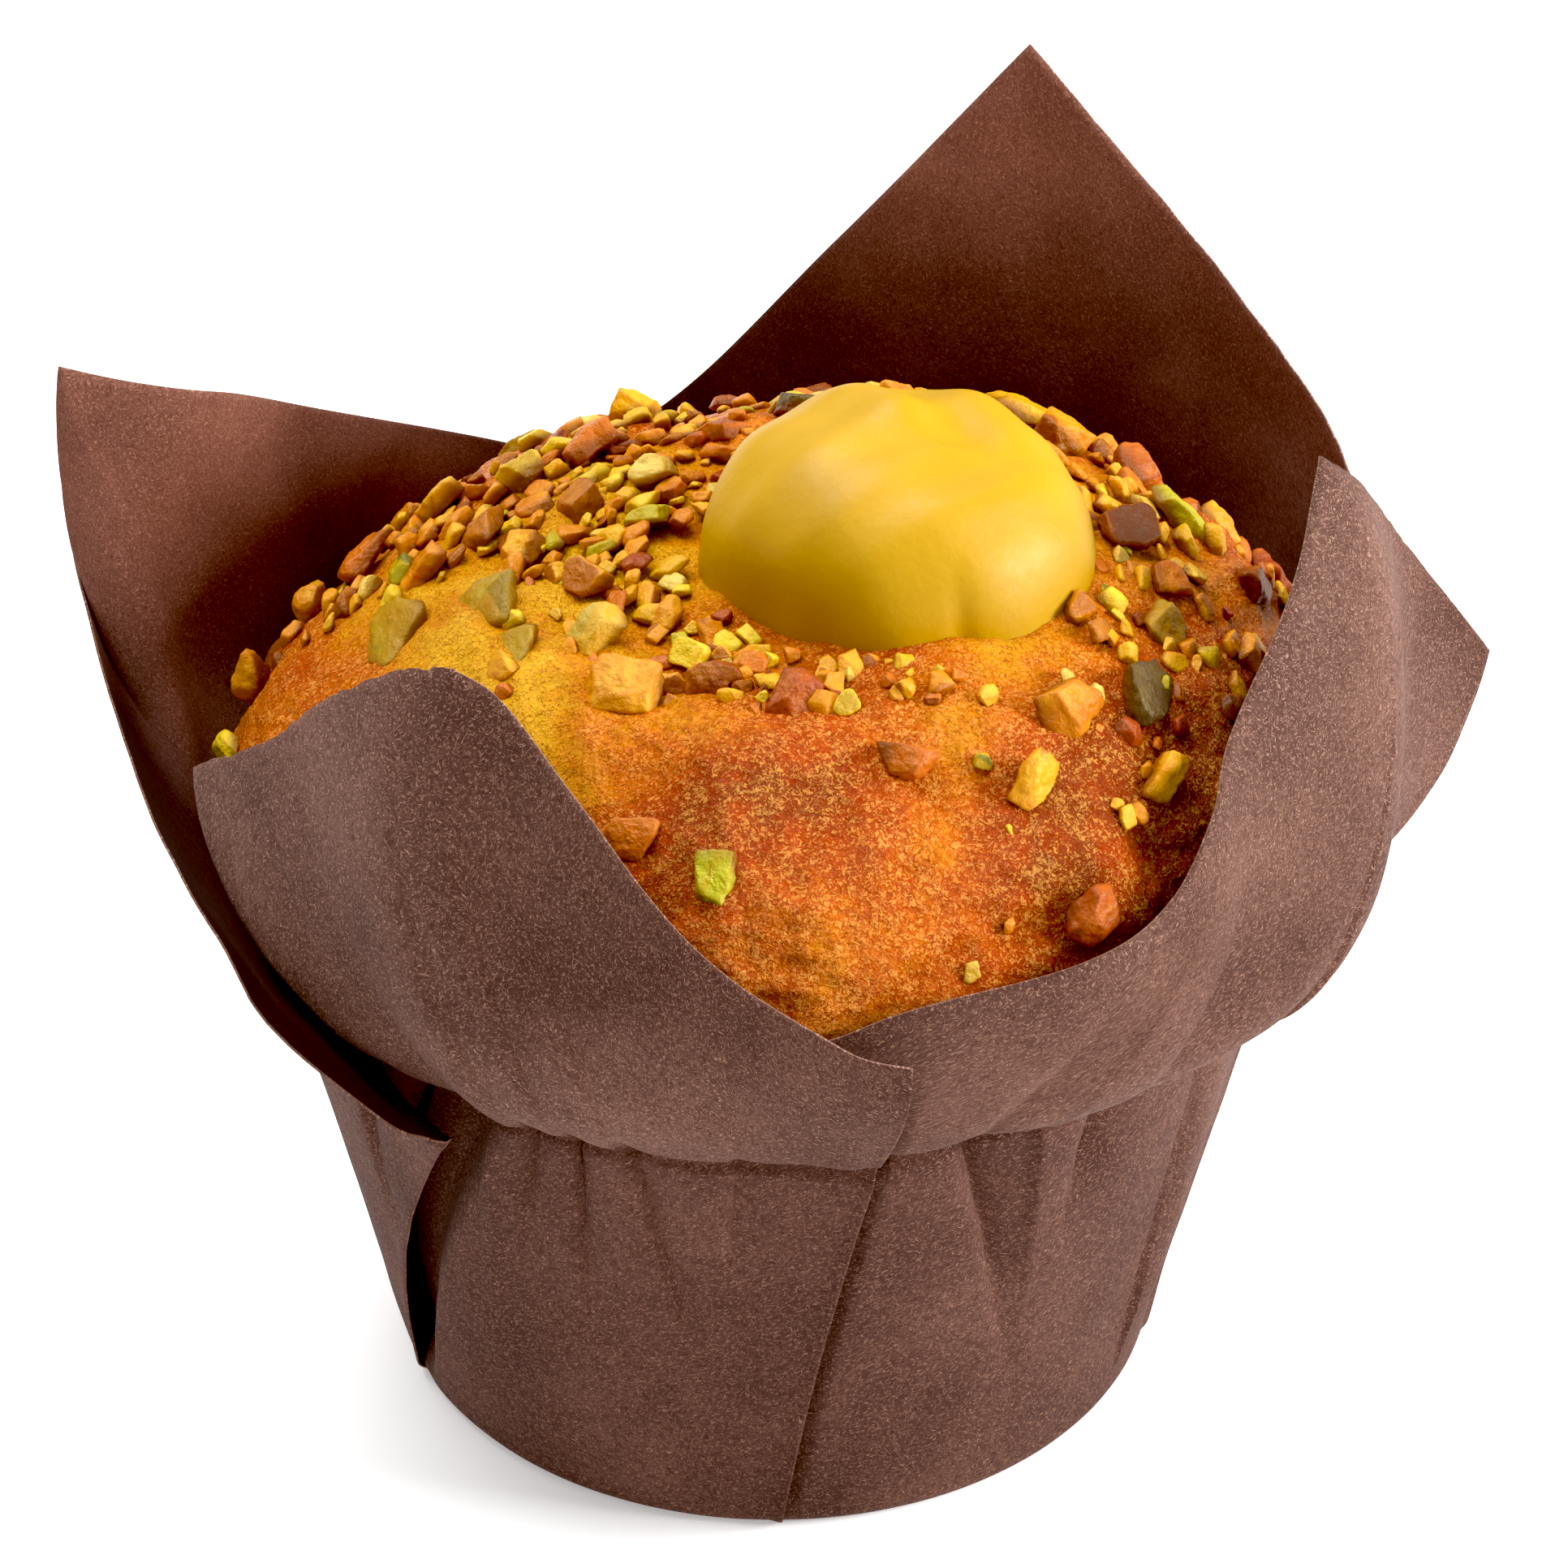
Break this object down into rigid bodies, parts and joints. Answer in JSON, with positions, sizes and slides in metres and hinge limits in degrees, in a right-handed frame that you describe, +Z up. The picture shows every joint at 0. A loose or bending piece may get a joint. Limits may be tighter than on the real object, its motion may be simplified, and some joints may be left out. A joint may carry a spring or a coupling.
{
  "type": "muffin in a tulip paper wrap",
  "caption": "Baked muffin with chopped pistachio and a dollop of filling on its crust, standing in a folded paper tulip wrap with tall petals.",
  "frame": {"origin": "centre of the flat round base of the paper cup, on the face that it stands on", "axes": "+Z up out of the cup; -Y towards the side where the front petal and the right petal meet, +X to the right of it"},
  "size_m": [0.0938, 0.0798, 0.075],
  "materials": {
    "paper": "matte",
    "crust": "matte",
    "cream": "satin",
    "nut_gold": "satin",
    "nut_yellow": "satin",
    "nut_pale": "satin",
    "nut_green": "satin",
    "nut_olive": "satin",
    "nut_toasted": "satin",
    "nut_brown": "satin",
    "nut_red": "satin",
    "nut_dark": "satin"
  },
  "bodies": {
    "root": {"tulip_wrap": "paper", "muffin": "crust", "cream_dollop": "cream", "pistachio_01": "nut_gold", "pistachio_02": "nut_yellow", "pistachio_03": "nut_gold", "pistachio_04": "nut_toasted", "pistachio_05": "nut_olive", "pistachio_06": "nut_olive", "pistachio_07": "nut_gold", "pistachio_08": "nut_toasted", "pistachio_09": "nut_brown", "pistachio_10": "nut_yellow", "pistachio_11": "nut_toasted", "pistachio_12": "nut_brown", "pistachio_13": "nut_gold", "pistachio_14": "nut_pale", "pistachio_15": "nut_green", "pistachio_16": "nut_toasted", "pistachio_17": "nut_dark", "pistachio_18": "nut_gold", "pistachio_19": "nut_yellow", "pistachio_20": "nut_gold", "pistachio_21": "nut_toasted", "pistachio_22": "nut_red", "pistachio_23": "nut_brown", "pistachio_24": "nut_green", "pistachio_25": "nut_red", "pistachio_26": "nut_gold", "pistachio_27": "nut_toasted", "pistachio_28": "nut_olive", "pistachio_29": "nut_brown", "pistachio_30": "nut_yellow", "pistachio_31": "nut_dark", "pistachio_32": "nut_toasted", "pistachio_33": "nut_green", "pistachio_34": "nut_gold", "pistachio_35": "nut_gold", "pistachio_36": "nut_red", "pistachio_37": "nut_green", "pistachio_38": "nut_red", "pistachio_39": "nut_toasted", "pistachio_40": "nut_gold", "pistachio_41": "nut_pale", "pistachio_42": "nut_olive", "pistachio_43": "nut_brown", "pistachio_44": "nut_red", "pistachio_45": "nut_gold", "pistachio_46": "nut_yellow", "pistachio_47": "nut_gold", "pistachio_48": "nut_brown", "pistachio_49": "nut_olive", "pistachio_50": "nut_toasted", "pistachio_51": "nut_toasted", "pistachio_52": "nut_gold"}
  },
  "joints": []
}
